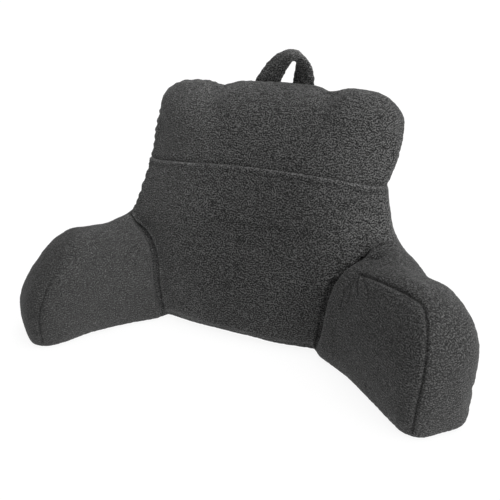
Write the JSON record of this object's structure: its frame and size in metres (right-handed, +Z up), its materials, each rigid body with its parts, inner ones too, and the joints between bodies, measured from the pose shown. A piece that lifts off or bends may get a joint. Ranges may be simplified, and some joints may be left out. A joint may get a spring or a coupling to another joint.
{
  "type": "reading pillow",
  "caption": "Stuffed bed-rest pillow with a leaning wedge back, splayed padded arms, a full-width front pocket and a strap handle behind the top, in dark curly pile.",
  "frame": {"origin": "middle of the backrest's flat underside", "axes": "+Z up; -Y is the front, the way a sitter leaning on it faces; +X runs across the backrest to the right as seen from the front"},
  "size_m": [0.7417, 0.4351, 0.4257],
  "materials": {
    "pile_fabric": "curly charcoal pile"
  },
  "bodies": {
    "root": {"backrest": "pile_fabric", "pocket": "pile_fabric", "arm_left": "pile_fabric", "arm_right": "pile_fabric", "handle": "pile_fabric"}
  },
  "joints": []
}
